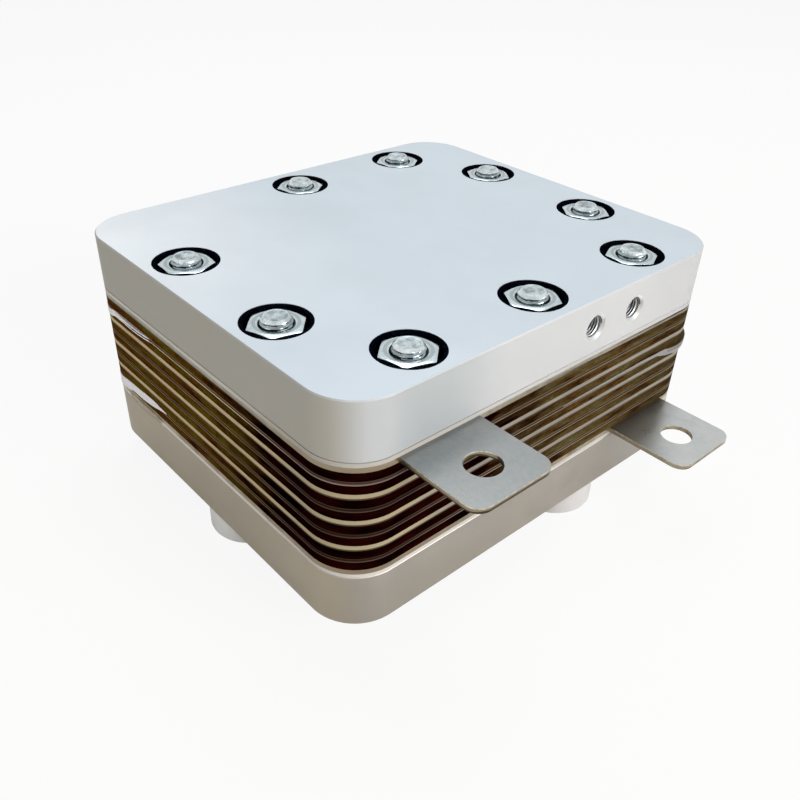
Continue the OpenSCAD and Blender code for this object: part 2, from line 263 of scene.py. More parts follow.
def collector_edge(s, low_z, light, dark_edge_share):
    """Cut edge: dark along its lower part, with a dark line along its top far right, painted shade round the
    front left corner and a broken painted highlight along the tabs' upper rim.
    """
    above = s.above(low_z)
    tab = s.fall(s.axis("Y"), -0.0500, -0.0490)
    edge = s.mottle(s.noise(260, 3), light, (0.30, 0.255, 0.185))
    # Painted shade round the front left corner.
    edge = s.mix(s.fall(s.from_corner(), -0.104, -0.075, 0.9), edge, (0.34, 0.275, 0.19))
    far = s.rise(s.plus(s.from_corner(), s.times(s.left(), 0.045)), -0.055, -0.035)
    share = s.larger(s.times(far, dark_edge_share), s.times(tab, 0.85))
    height = s.plus(above, s.rise(s.axis("X"), 0.0, 0.02, 0.40 * MM))
    height = s.plus(height, s.times(s.left(), 0.26 * MM))
    lower = s.fall(height, 0.60 * MM, 0.72 * MM)
    edge = s.mix(s.times(share, lower), edge, (0.024, 0.014, 0.005))
    rim = s.times(s.rise(above, 0.72 * MM, 0.84 * MM), s.rise(s.axis("X"), 0.015, 0.050))
    edge = s.mix(s.times(rim, 0.95 * dark_edge_share), edge, (0.03, 0.028, 0.026))
    # Painted highlight in broken patches along the tabs' upper rim.
    broken_rim_highlight = s.times(tab, s.remap(s.noise(700, 3, 0.7), 0.40, 0.58, 0.2, 0.9))
    return s.mix(s.times(broken_rim_highlight, s.rise(above, 1.04 * MM, 1.14 * MM)), edge, (0.80, 0.79, 0.70))


def collector_material(name, light, dark, glint, low_z, edge_light, dark_edge_share):
    """Rolled stainless sheet, cloudy on its faces. Where the edge isn't darkened, the tab's root gets painted
    shade.
    """
    s = Shader(name)
    clouds = s.noise(150, 4, 0.6)
    fine = s.noise(1300, 2, 0.6, at=s.stretch(1, 0.4, 1))
    face = s.mottle(clouds, light, dark)
    face = s.mix(s.rise(fine, 0.40, 0.7, 0.25), face, glint)
    # Painted shade at the tab's root.
    root = s.rise(s.axis("Y"), -0.0570, -0.0485, 0.45 * (1 - dark_edge_share))
    face = s.mix(root, face, (0.15, 0.15, 0.14))
    flat = s.rise(s.maths("ABSOLUTE", s.facing("Z")), 0.4, 0.6)
    s.colour(s.mix(flat, collector_edge(s, low_z, edge_light, dark_edge_share), face))
    s.rough_by(clouds, 0.26, 0.36)
    s.bump(fine, 0.10, 0.02 * MM)
    s.fixed(Metallic=1.0)
    return s.material


# Cells

def bipolar_material():
    """Thin separator plate with tones painted for the light: tan on the left, cream round the corner, greyer
    in front with painted glints; dark lowest down.
    """
    s = Shader("bipolar_sheet")
    along = s.noise(120, 4, 0.6, at=s.stretch(1, 1, 12))
    fine = s.noise(520, 3, 0.6, at=s.stretch(1, 1, 6))
    front = s.mottle(along, (0.30, 0.26, 0.21), (0.22, 0.20, 0.165), 0.36, 0.64)
    # Painted glints in front.
    front = s.mix(s.rise(fine, 0.55, 0.75, 0.6), front, (0.27, 0.30, 0.29))
    left = s.mottle(along, (0.62, 0.47, 0.27), (0.49, 0.38, 0.205), 0.36, 0.64)
    left = s.mix(s.rise(fine, 0.5, 0.7, 0.6), left, (0.64, 0.51, 0.36))
    # Tones painted for the light: tan on the left, greyer in front, cream round the corner.
    tone = s.mix(s.left(), front, left)
    tone = s.mix(s.fall(s.from_corner(), -0.100, -0.082, 0.9), tone, (0.42, 0.35, 0.22))
    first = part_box("bipolar_plate_1")[0].z
    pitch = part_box("bipolar_plate_2")[0].z - first
    cells_up = s.maths("DIVIDE", s.above(first - 0.01 * MM), pitch)
    height = s.times(s.maths("FRACT", cells_up), pitch)
    s.colour(s.mix(s.fall(height, 0.38 * MM, 0.50 * MM, 0.9), tone, (0.03, 0.014, 0.005)))
    s.rough_by(along, 0.36, 0.55)
    s.bump(s.noise(2500, 2, at=s.stretch(1, 1, 0.2)), 0.2, 0.04 * MM)
    s.fixed(Metallic=0.4, Specular_IOR_Level=0.1)
    return s.material


def frame_material():
    """Dark amber plastic with olive and brown patches, in tones painted for the light on the left and in
    front, with painted shade far right and round the right corner, and painted shade that makes it nearly
    black round the front left corner.
    """
    s = Shader("amber_frame")
    patches = s.noise(85, 4, 0.65, at=s.stretch(1, 1, 5))
    fine = s.noise(900, 2, 0.6, at=s.stretch(1, 1, 1.5))
    left = s.ramp(patches, [(0.36, (0.038, 0.009, 0.002)), (0.46, (0.115, 0.038, 0.005)),
                            (0.55, (0.110, 0.070, 0.005)), (0.68, (0.150, 0.108, 0.008))])
    front = s.ramp(patches, [(0.36, (0.022, 0.010, 0.004)), (0.45, (0.072, 0.036, 0.010)),
                             (0.55, (0.074, 0.056, 0.020)), (0.68, (0.112, 0.090, 0.042))])
    # Tones painted for the light on the left and in front.
    amber = s.mix(s.left(), front, left)
    amber = s.mix(s.rise(fine, 0.35, 0.65, 0.45), amber, (0.02, 0.008, 0.002))
    # Painted shade far right.
    amber = s.mix(s.rise(s.axis("X"), 0.025, 0.062, 0.55), amber, (0.016, 0.012, 0.005))
    # Painted shade: nearly black round the front left corner, amber where it is lit.
    dark = s.mottle(patches, (0.002, 0.0004, 0.0003), (0.012, 0.0010, 0.0006), 0.4, 0.6)
    corner = s.plus(s.from_corner(), s.times(s.left(), 0.016))
    lit = s.rise(s.plus(corner, s.times(patches, 0.04)), -0.052, -0.020)
    tone = s.mix(lit, dark, amber)
    # Painted shade round the right corner.
    s.colour(s.mix(s.rise(s.facing("X"), 0.58, 0.74, 0.75), tone, (0.010, 0.010, 0.006)))
    s.rough_by(fine, 0.25, 0.45)
    s.bump(s.noise(1800, 2, at=s.stretch(1, 1, 0.15)), 0.15, 0.04 * MM)
    s.fixed(Specular_IOR_Level=0.0)
    return s.material


def sheet_material(name, front, left, ledge, corner, lip=None, far_ledge_shade=None):
    """Edge of a thin sheet with long waves of painted light and short painted glints.

    Front and left are pairs of a light and a dark tone, painted for the light on each side, and lip is the
    tone of what stands out on the left.
    """
    s = Shader(name)
    along = s.noise(210, 5, 0.7, at=s.stretch(1, 1, 9))
    waves = s.noise(34, 2, 0.5, at=s.stretch(1, 1, 14))
    # Painted glints and long waves of painted light along the edge, between the tones painted for each side.
    light = s.plus(s.rise(along, 0.40, 0.66, 0.6), s.rise(waves, 0.40, 0.62, 0.4))
    sides = s.mix(s.left(), s.mix(light, front[1], front[0]), s.mix(light, left[1], left[0]))
    if lip:
        sides = s.mix(s.fall(s.axis("X"), -0.06825, -0.06812), sides, lip)
    # Painted shade on the ledge far right.
    if far_ledge_shade:
        ledge = s.mix(s.rise(s.axis("X"), 0.020, 0.030), ledge, far_ledge_shade)
    tone = s.mix(s.rise(s.facing("Z"), 0.4, 0.8), sides, ledge)
    # Tone painted for the light round the front left corner.
    s.colour(s.mix(s.fall(s.from_corner(), -0.098, -0.070, 0.85), tone, corner))
    s.rough_by(along, 0.3, 0.6)
    s.bump(s.noise(900, 2), 0.3, 0.05 * MM)
    s.fixed(Specular_IOR_Level=0.05)
    return s.material


def membrane_material():
    """Dark film between the seals, in tones painted for the light on the left and in front, with painted
    shade that makes it nearly black round the front left corner.
    """
    s = Shader("membrane_film")
    cloud = s.noise(90, 3)
    front = s.mottle(cloud, (0.13, 0.098, 0.060), (0.060, 0.042, 0.022))
    left = s.mottle(cloud, (0.13, 0.075, 0.02), (0.05, 0.022, 0.006))
    # Tones painted for the light on the left and in front, and painted shade round the front left corner.
    sides = s.mix(s.left(), front, left)
    s.colour(s.mix(s.fall(s.from_corner(), -0.098, -0.070, 0.95), sides, (0.012, 0.002, 0.001)))
    s.rough_by(s.noise(700, 2), 0.3, 0.5)
    s.bump(s.noise(500, 2), 0.2, 0.05 * MM)
    s.fixed(Specular_IOR_Level=0.0)
    return s.material


def felt_material(name, light, dark, metal):
    """Porous layer of short fibres, out of sight in the closed stack."""
    s = Shader(name)
    fibres = s.noise(2600, 3, 0.7, distortion=2.5)
    s.colour(s.mottle(fibres, light, dark))
    s.rough_by(fibres, 0.6, 0.9)
    s.bump(fibres, 0.8, 0.1 * MM)
    s.fixed(Metallic=metal)
    return s.material


# Small parts

def zinc_material(name, light, dark, low_rough, high_rough, pitted=0.35):
    """Bright zinc plate with clouded spots and fine pits."""
    s = Shader(name)
    clouds = s.noise(420, 4, 0.65)
    tone = s.mottle(clouds, light, dark, 0.36, 0.64)
    pits = s.rise(s.noise(2600, 2, 0.6), 0.56, 0.72, pitted)
    s.colour(s.mix(pits, tone, (0.24, 0.28, 0.30)))
    s.rough_by(clouds, low_rough, high_rough)
    s.bump(s.noise(1300, 3, 0.6), pitted, 0.06 * MM)
    s.fixed(Metallic=1.0)
    return s.material


def groove_shade_material():
    """Nearly black metal as painted shade in the thread grooves, the nuts' bores and on the studs inside the
    nuts.
    """
    s = Shader("painted_groove_shade")
    s.colour(s.mottle(s.noise(900, 3), (0.022, 0.025, 0.027), (0.006, 0.007, 0.008)))
    s.rough_by(s.noise(700, 2), 0.35, 0.55)
    s.bump(s.noise(1500, 2), 0.2, 0.04 * MM)
    s.fixed(Specular_IOR_Level=0.15)
    return s.material


def cup_material():
    """Black moulded plastic with a little dust on the rim."""
    s = Shader("black_cup")
    dust = s.noise(1400, 4, 0.7)
    s.colour(s.mottle(dust, (0.0010, 0.0018, 0.0045), (0.012, 0.020, 0.032), 0.56, 0.78))
    s.rough_by(dust, 0.55, 0.8)
    s.bump(s.noise(1800, 2), 0.25, 0.05 * MM)
    s.fixed(Specular_IOR_Level=0.0)
    return s.material


def rubber_material():
    """Black rubber, finely grained."""
    s = Shader("ring_rubber")
    s.colour(s.mottle(s.noise(900, 3), (0.022, 0.022, 0.022), (0.035, 0.034, 0.033)))
    s.rough_by(s.noise(600, 2), 0.55, 0.75)
    s.bump(s.noise(2400, 2), 0.3, 0.05 * MM)
    return s.material


def foot_material():
    """White moulded foot with faint flow marks, and tones painted for the light: paler on the left foot,
    greyer on the feet further right.
    """
    s = Shader("white_foot")
    marks = s.noise(70, 4, 0.6, at=s.stretch(1, 1, 0.4))
    # Painted light and shade: paler on the left foot, greyer on the feet further right.
    tone = s.mix(s.rise(s.axis("X"), -0.03, 0.0), (0.91, 0.90, 0.89), (0.54, 0.525, 0.52))
    s.colour(s.mix(s.rise(marks, 0.35, 0.65, 0.15), tone, (0.62, 0.60, 0.60)))
    s.rough_by(marks, 0.34, 0.48)
    s.bump(s.noise(1600, 2), 0.15, 0.04 * MM)
    return s.material


# Mesh helpers

def rings_to_faces(rings, segments, closed=False):
    """Quads between rings of points that follow one another, and from the last to the first if closed."""
    faces = []
    for k in range(rings if closed else rings - 1):
        here, there = k * segments, (k + 1) % rings * segments
        for i in range(segments):
            n = (i + 1) % segments
            faces.append((here + i, here + n, there + n, there + i))
    return faces


def ring_points(centre, rows, turn=0.0):
    """Points of rings round an upright axis. Each row has a (radius, height) for every segment."""
    points = []
    for row in rows:
        for i, (r, z) in enumerate(row):
            a = turn + 2 * math.pi * i / len(row)
            points.append((centre.x + r * math.cos(a), centre.y + r * math.sin(a), z))
    return points


def joined(name, parts, materials, smooth_angle):
    """One piece from parts of (points, faces, kinds). A kind is a face's place in the list of materials."""
    points, faces, kinds = [], [], []
    for part_points, part_faces, part_kinds in parts:
        first = len(points)
        points += part_points
        faces += [tuple(i + first for i in face) for face in part_faces]
        kinds += part_kinds
    mesh = bpy.data.meshes.new(name)
    mesh.from_pydata(points, [], faces)
    mesh.shade_smooth()
    for material in materials:
        mesh.materials.append(material)
    mesh.polygons.foreach_set("material_index", kinds)
    mesh.validate()
    mesh.update()
    mesh.set_sharp_from_angle(angle=math.radians(smooth_angle))
    piece = bpy.data.objects.new(name, mesh)
    bpy.context.scene.collection.objects.link(piece)
    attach(piece, "root")
    return piece


def islands(node):
    """Lowest corner, highest corner and points of each separate solid of a node, from front to back."""
    mesh = nodes[node].data
    parent = list(range(len(mesh.vertices)))
    keys = {}
    for v in mesh.vertices:
        key = tuple(round(c, 6) for c in v.co)
        parent[v.index] = keys.setdefault(key, v.index)

    def root(i):
        while parent[i] != i:
            parent[i] = parent[parent[i]]
            i = parent[i]
        return i

    for e in mesh.edges:
        a, b = root(e.vertices[0]), root(e.vertices[1])
        if a != b:
            parent[a] = b
    groups = {}
    for v in mesh.vertices:
        groups.setdefault(root(v.index), []).append(v.co)
    solids = []
    for points in groups.values():
        low = Vector([min(p[i] for p in points) for i in range(3)])
        high = Vector([max(p[i] for p in points) for i in range(3)])
        solids.append((low, high, points))
    return sorted(solids, key=lambda b: (round(b[0].y, 3), round(b[0].x, 3)))


def middle(low, high):
    """Middle of a box seen from above."""
    return (low.xy + high.xy) / 2


# Nuts

def nut_reach(i, segments, half):
    """Distance of a hexagon's side from its middle at one of the segments, which start at a corner."""
    per_flat = segments // 6
    from_corner = abs((i + per_flat // 2) % per_flat - per_flat // 2)
    return half / math.cos(math.radians(30 - 60 * from_corner / per_flat))


def rolled_edge(r, z, up):
    """Points of the rolled edge where the cone meets the flat."""
    edge = 0.13 * MM
    return [(r - edge, z + up * edge * 0.30), (r - edge * 0.35, z - up * edge * 0.10),
            (r, z - up * edge * 0.9)]


def nut_column(r, face_r, bore_r, low, high):
    """Section of a nut from its thread over the countersink, the face, the cone and the side to below."""
    slope = math.tan(math.radians(12))
    sink = 0.6 * MM
    fall = (r - face_r) * slope
    column = [(bore_r, low + sink), (bore_r, high - sink), (bore_r + sink * 0.7, high - sink * 0.3),
              (bore_r + sink + 0.05 * MM, high - 0.03 * MM), (bore_r + sink + 0.25 * MM, high),
              (face_r - 0.12 * MM, high), (face_r, high - 0.015 * MM), ((face_r + r) / 2, high - fall / 2)]
    column += rolled_edge(r, high - fall, 1)
    column += rolled_edge(r, low + fall, -1)[::-1]
    return column + [(face_r, low), (bore_r + sink, low)]


def build_nut(centre, turn, low, high, flats):
    """Hexagon nut with shallow cone-cut corners and rolled edges, painted shade in its countersunk thread,
    and a darker zinc on its flat face that is painted shade.
    """
    segments, bore_r, half = 96, 4.0 * MM, flats / 2
    reaches = [nut_reach(i, segments, half) for i in range(segments)]
    rows = list(zip(*(nut_column(r, half * 0.90, bore_r, low, high) for r in reaches)))
    side, groove, face = 0, 1, 2
    # Painted shade in the bore and the countersinks; the flat face gets its own darker zinc, painted shade.
    band_kinds = [groove, groove, side, side, face] + [side] * (len(rows) - 6) + [groove]
    kinds = [kind for kind in band_kinds for _ in range(segments)]
    return ring_points(centre, rows, turn), rings_to_faces(len(rows), segments, closed=True), kinds


def hexagon_turn(points, centre, corner_r):
    """Angle of one corner of a nut, read from the points of its solid that lie farthest out."""
    out = [p.xy - centre for p in points if (p.xy - centre).length > corner_r * 0.995]
    angles = [6 * math.atan2(p.y, p.x) for p in out]
    return math.atan2(sum(map(math.sin, angles)), sum(map(math.cos, angles))) / 6


def make_nuts(zinc, groove):
    """Nuts in place of the CAD's, each round its stud and turned as the CAD has it."""
    stud_centres = [middle(low, high) for low, high, _ in islands("studs")]
    parts = []
    for low, high, points in islands("nuts"):
        near = middle(low, high)
        centre = min(stud_centres, key=lambda c: (c - near).length)
        corner_r = max((p.xy - centre).length for p in points)
        flats = 2 * corner_r * math.cos(math.radians(30))
        parts.append(build_nut(centre, hexagon_turn(points, centre, corner_r), low.z, high.z, flats))
    # Darker zinc for the flat face, painted shade.
    face = zinc_material("nut_face", (0.36, 0.42, 0.43), (0.28, 0.33, 0.35), 0.20, 0.36)
    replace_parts(joined("hex_nuts", parts, [zinc, groove, face], 28.0), "nuts")


# Studs

def stud_rows(low, high, radius, bevel, depth, phase, segments):
    """Rings of a stud from its foot to its cut end, with a thread of the given depth over the upper part."""
    pitch, thread_l, steps, tiny = 1.25 * MM, 15 * MM, 8, 0.001 * MM
    tip_r = radius - bevel
    start = high - thread_l
    rows = [[ring] * segments for ring in ((tiny, low), (tip_r, low), (radius, low + bevel),
                                           (radius, start - pitch))]
    for k in range(int(thread_l / pitch * steps) + 1):
        z = start + k * pitch / steps
        fade = min(1.0, (z - start) / pitch)
        row = []
        for i in range(segments):
            turn = ((z - low) / pitch - i / segments + phase) % 1.0
            crest = min(1.0, max(0.0, (abs(turn - 0.5) * 2 - 0.12) / 0.76))
            r = radius - depth * (1 - crest) * fade
            row.append((min(r, tip_r + max(0.0, high - z)), z))
        rows.append(row)
    rows += [[ring] * segments for ring in ((tip_r * 0.96, high), (tip_r * 0.90, high - 0.04 * MM),
                                            (tip_r * 0.5, high - 0.05 * MM), (tiny, high - 0.02 * MM))]
    return rows


def build_stud(centre, low, high, dark_z, phase):
    """Stud with a painted highlight on its rim, a rough end and a helical thread, with painted shade in its
    grooves and inside the nut.
    """
    segments, bevel, depth = 72, 0.9 * MM, 0.50 * MM
    radius = (high.x - low.x) / 2
    rows = stud_rows(low.z, high.z, radius, bevel, depth, phase, segments)
    thread, groove, cut, rim = 0, 1, 2, 3
    kinds = []
    for k, row in enumerate(rows[:-1]):
        for r, z in row:
            # Painted shade in the deep grooves and inside the nut, a painted highlight on the bevelled rim.
            deep = r < radius - depth * 0.82 and z < high.z - 0.9 * MM
            if k >= len(rows) - 3:
                kinds.append(cut)
            elif z > high.z - bevel * 0.9:
                kinds.append(rim)
            else:
                kinds.append(groove if deep or z < dark_z else thread)
    return ring_points(centre, rows), rings_to_faces(len(rows), segments), kinds


def make_studs(groove):
    """Studs in place of the CAD's, each with its thread turned a little further than the last."""
    # Below this height, inside the nut, the stud gets painted shade.
    dark_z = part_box("nuts")[1].z - 0.6 * MM
    parts = []
    for k, (low, high, _) in enumerate(islands("studs")):
        parts.append(build_stud(middle(low, high), low, high, dark_z, 0.37 * k))
    # The thread gets a darker zinc, painted shade, and the rim a brighter one, a painted highlight.
    thread = zinc_material("stud_thread", (0.36, 0.42, 0.44), (0.20, 0.24, 0.26), 0.16, 0.30)
    cut = zinc_material("cut_stud_end", (0.60, 0.68, 0.70), (0.17, 0.21, 0.22), 0.22, 0.40, 0.6)
    rim = zinc_material("stud_rim_highlight", (0.74, 0.80, 0.82), (0.42, 0.48, 0.50), 0.16, 0.30)
    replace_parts(joined("threaded_studs", parts, [thread, groove, cut, rim], 40.0), "studs")


# Curled edges of the thin sheets

# Upper and lower edge of each strip, as points of run and height in mm. Run goes from the middle of the side.
CELL_1_STRIP = ([(21.0, 30.5), (24.8, 30.7), (27.8, 31.0), (32.5, 30.85), (37.3, 30.5), (42.2, 30.25),
                 (48.1, 29.75), (54.0, 29.3), (57.5, 29.1), (64.0, 28.2)],
                [(21.4, 30.1), (25.6, 29.45), (27.5, 28.95), (31.4, 28.35), (35.3, 27.9), (41.0, 27.8),
                 (45.0, 26.6), (47.5, 26.4), (57.5, 26.2), (61.0, 27.0), (64.0, 28.05)])
CELL_4_STRIP = ([(27.0, 53.15), (33.5, 53.15), (40.9, 53.05), (45.3, 53.05), (48.2, 52.5), (57.5, 52.4),
                 (64.0, 51.9)],
                [(27.0, 52.8), (30.0, 52.65), (35.1, 51.9), (38.9, 51.5), (41.5, 51.3), (44.6, 51.3),
                 (47.9, 50.5), (57.5, 50.3), (61.0, 50.9), (64.0, 51.75)])
CELL_3_STRIP = ([(4.0, 45.3), (12.0, 45.6), (38.3, 45.8), (44.4, 45.6), (50.6, 45.35), (53.8, 45.35),
                 (56.4, 45.5), (59.8, 45.6), (67.0, 45.6), (74.0, 45.4)],
                [(4.0, 45.2), (12.0, 45.1), (38.6, 45.1), (43.1, 44.85), (45.4, 44.7), (48.0, 44.0),
                 (50.6, 43.25), (53.1, 42.85), (54.8, 42.5), (57.1, 42.0), (65.0, 42.0), (68.0, 42.6),
                 (71.5, 44.4), (74.0, 45.25)])


def outline_point(side, run):
    """Place and outward direction on the plates' outline, at a run in metres from the middle of the side."""
    corner = PLATE_CORNER_MM * MM
    half_d, half_w = (PLATE_HIGH.y - PLATE_LOW.y) / 2, (PLATE_HIGH.x - PLATE_LOW.x) / 2
    if side == "left":
        normal, tangent, half, start = Vector((-1, 0, 0)), Vector((0, 1, 0)), half_w, half_d - corner
    else:
        normal, tangent, half, start = Vector((0, -1, 0)), Vector((1, 0, 0)), half_d, half_w - corner
    turn = max(0.0, run - start) / corner
    out = normal * math.cos(turn) + tangent * math.sin(turn)
    centre = Vector((0, PLATES_MID_Y, 0))
    return centre + tangent * min(run, start) + normal * (half - corner) + out * corner, out


def height_at(curve, run):
    """Height on a curve at a run, eased a little into each of its points."""
    if run <= curve[0][0]:
        return curve[0][1]
    for (a, za), (b, zb) in zip(curve, curve[1:]):
        if run <= b:
            t = (run - a) / (b - a)
            return za + (zb - za) * (0.6 * t + 0.4 * t * t * (3 - 2 * t))
    return curve[-1][1]


def lip_at(side, run):
    """How far the lips of cell 4's seals, on the left, or cell 3's, on the front, stand out there, in mm."""
    if side == "left":
        bow_middle, bow_half = 34.25, 11.0
        bow_r = (bow_half ** 2 + SEAL_LIP_MM ** 2) / (2 * SEAL_LIP_MM)
        return max(0.0, math.sqrt(bow_r ** 2 - (run - bow_middle) ** 2) - bow_r + SEAL_LIP_MM)
    straight_end = 54.5
    lip_r = PLATE_CORNER_MM + SEAL_LIP_MM
    reach = lip_r ** 2 - max(0.0, straight_end - run) ** 2
    return math.sqrt(max(PLATE_CORNER_MM ** 2, reach)) - PLATE_CORNER_MM


def build_curl(side, upper, lower, on_lip=True, grip=1.6):
    """Thin strip between two curves, attached at its upper edge and standing off the side below."""
    steps, levels = 64, 5
    gap, lift, root = 0.08 * MM, 0.12 * MM, 0.05 * MM
    first, last = upper[0][0], upper[-1][0]
    points, faces = [], []
    for i in range(steps + 1):
        run = first + (last - first) * i / steps
        top, bottom = height_at(upper, run), height_at(lower, run)
        place, out = outline_point(side, run * MM)
        wide = min(1.0, (top - bottom) / 2.2)
        for k in range(levels + 1):
            t = k / levels
            lip = (lip_at(side, run) - 0.02) * MM * min(1.0, t * grip) if on_lip else 0.0
            stand = max(gap + lift * wide * (1 - t) ** 1.3, lip)
            points.append(place + out * stand + Vector((0, 0, (bottom + (top - bottom) * t) * MM)))
        for z in (top, bottom):
            points.append(place - out * root + Vector((0, 0, z * MM)))
    ring = levels + 3
    for i in range(steps):
        a, b = i * ring, (i + 1) * ring
        for k in range(ring):
            n = (k + 1) % ring
            faces.append((a + k, b + k, b + n, a + n))
    faces += [tuple(range(ring)), tuple(steps * ring + k for k in reversed(range(ring)))]
    return points, faces, [0] * len(faces)


def make_curls():
    """Edges of the seals of cells 1 and 4 at the left, and of cell 3 from the front to its right corner."""
    parts = [build_curl("left", *CELL_1_STRIP, on_lip=False), build_curl("left", *CELL_4_STRIP),
             build_curl("front", *CELL_3_STRIP, grip=2.4)]
    material = sheet_material("curled_sheet", front=((0.27, 0.25, 0.26), (0.20, 0.205, 0.19)),
                              left=((0.97, 0.95, 0.97), (0.92, 0.88, 0.91)),
                              ledge=(0.5, 0.5, 0.5), corner=(0.4, 0.4, 0.4))
    joined("curled_sheet_edges", parts, [material], 50.0)


# Threads in the ports

def port_thread(mouth, inward):
    """Helical ridge inside a port that runs along Y from its mouth."""
    segments, turns, pitch, start, fade = 48, 11, 0.76 * MM, 0.85 * MM, 14
    outer, inner = 3.02 * MM, 2.62 * MM
    section = [(outer, -0.50), (outer - 0.10 * MM, -0.24), (inner, -0.06), (inner, 0.12), (outer, 0.50)]
    ridge, groove = 0, 1
    # The flanks get the groove material, painted shade.
    section_kinds = [groove, ridge, ridge, groove]
    points, faces, kinds = [], [], []
    steps = segments * turns
    for k in range(steps + 1):
        a = 2 * math.pi * k / segments
        along = start + pitch * k / segments
        grow = min(1.0, k / fade, (steps - k) / fade)
        for section_r, offset in section:
            r = outer - (outer - section_r) * grow
            y = mouth.y + inward * (along + offset * pitch)
            points.append((mouth.x + r * math.cos(a), y, mouth.z + r * math.sin(a) * inward))
    width = len(section)
    for k in range(steps):
        for j, kind in enumerate(section_kinds):
            a = k * width + j
            faces.append((a, a + 1, a + width + 1, a + width))
            kinds.append(kind)
    return points, faces, kinds


def make_port_threads(groove):
    """A thread in each of the four ports, placed by the record's mounts."""
    parts = []
    for mount in frame["record"]["mounts"]:
        if mount["kind"] == "threaded_hole":
            x, _, z = mount["pos_m"]
            outward = mount["axis"][1]
            face_y = PLATE_LOW.y if outward < 0 else PLATE_HIGH.y
            parts.append(port_thread(Vector((x, face_y, z)), -outward))
    metal = zinc_material("cut_thread", (0.56, 0.57, 0.58), (0.44, 0.45, 0.46), 0.34, 0.50)
    joined("port_threads", parts, [metal, groove], 40.0)


# Materials on the CAD nodes

def paint(material, *names):
    for name in names:
        nodes[name].data.materials.clear()
        nodes[name].data.materials.append(material)


def in_cells(kind, cells=range(1, CELLS + 1)):
    """Names of the nodes of one kind in the cells."""
    return [f"{kind}_{i}" for i in cells]


def paint_end_plates():
    # Top, front and left tones are painted light and shade, and the bottom plate's darker, warmer tones are
    # painted shade.
    paint(end_plate_material("end_plate_top", top=(0.57, 0.63, 0.68), front=(0.54, 0.54, 0.545),
                             left=(0.41, 0.385, 0.33), metal=0.35, tab_reflection_tone=(0.40, 0.43, 0.435),
                             far=(0.475, 0.475, 0.48)), "top_end_plate")
    paint(end_plate_material("end_plate_bottom", top=(0.60, 0.55, 0.50), front=(0.425, 0.39, 0.345),
                             left=(0.455, 0.40, 0.31), metal=1.0, tab_reflection_tone=(0.44, 0.40, 0.35),
                             far=(0.40, 0.37, 0.33)), "bottom_end_plate")


def paint_collectors():
    # The upper collector's darker tones are painted shade.
    paint(collector_material("collector_upper", light=(0.27, 0.28, 0.275), dark=(0.22, 0.235, 0.235),
                             glint=(0.33, 0.33, 0.32), low_z=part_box("top_collector")[0].z,
                             edge_light=(0.42, 0.38, 0.31), dark_edge_share=1.0), "top_collector")
    paint(collector_material("collector_lower", light=(0.48, 0.49, 0.48), dark=(0.40, 0.42, 0.42),
                             glint=(0.56, 0.56, 0.54), low_z=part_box("bottom_collector")[0].z,
                             edge_light=(0.50, 0.43, 0.33), dark_edge_share=0.0), "bottom_collector")


def paint_insulators():
    # Front, left and corner tones are painted for the light on each side.
    paint(sheet_material("insulator_edge_upper", front=((0.455, 0.45, 0.44), (0.42, 0.41, 0.395)),
                         left=((0.72, 0.68, 0.60), (0.59, 0.56, 0.49)), ledge=(0.5, 0.5, 0.5),
                         corner=(0.42, 0.39, 0.35)), "top_insulator")
    paint(sheet_material("insulator_edge_lower", front=((0.52, 0.51, 0.485), (0.40, 0.38, 0.35)),
                         left=((0.86, 0.81, 0.76), (0.70, 0.64, 0.59)), ledge=(0.94, 0.88, 0.76),
                         corner=(0.58, 0.54, 0.51), lip=(0.42, 0.37, 0.28)), "bottom_insulator")


def paint_lower_seals():
    """Seals under the membranes. That of the top cell is much paler on the left."""
    paint(sheet_material("seal_edge_lower", front=((0.24, 0.195, 0.16), (0.10, 0.075, 0.05)),
                         left=((0.30, 0.20, 0.115), (0.15, 0.09, 0.04)), ledge=(0.085, 0.055, 0.022),
                         corner=(0.045, 0.025, 0.018)), *in_cells("anode_seal", range(1, CELLS)))
    paint(sheet_material("seal_edge_fourth", front=((0.20, 0.155, 0.12), (0.08, 0.06, 0.04)),
                         left=((0.74, 0.60, 0.46), (0.50, 0.37, 0.25)), ledge=(0.11, 0.08, 0.045),
                         corner=(0.20, 0.14, 0.12), lip=(0.97, 0.95, 0.97)), "anode_seal_4")


def paint_upper_seals():
    """Seals over the membranes. Those of cells 3 and 4 have lips that show from above."""
    paint(sheet_material("seal_edge_upper", front=((0.15, 0.115, 0.08), (0.075, 0.052, 0.030)),
                         left=((0.26, 0.16, 0.08), (0.10, 0.05, 0.018)), ledge=(0.10, 0.07, 0.04),
                         corner=(0.015, 0.004, 0.003)), *in_cells("cathode_seal", (1, 2)))
    # Its ledge far right is painted shade.
    paint(sheet_material("seal_edge_lipped", front=((0.13, 0.095, 0.06), (0.055, 0.037, 0.018)),
                         left=((0.26, 0.16, 0.08), (0.10, 0.05, 0.018)), ledge=(0.42, 0.39, 0.42),
                         corner=(0.015, 0.004, 0.003), far_ledge_shade=(0.050, 0.038, 0.016)), "cathode_seal_3")
    paint(sheet_material("seal_edge_white", front=((0.13, 0.095, 0.06), (0.055, 0.037, 0.018)),
                         left=((0.34, 0.23, 0.13), (0.12, 0.07, 0.03)), ledge=(0.97, 0.95, 0.97),
                         corner=(0.06, 0.03, 0.025), lip=(0.97, 0.95, 0.97)), "cathode_seal_4")


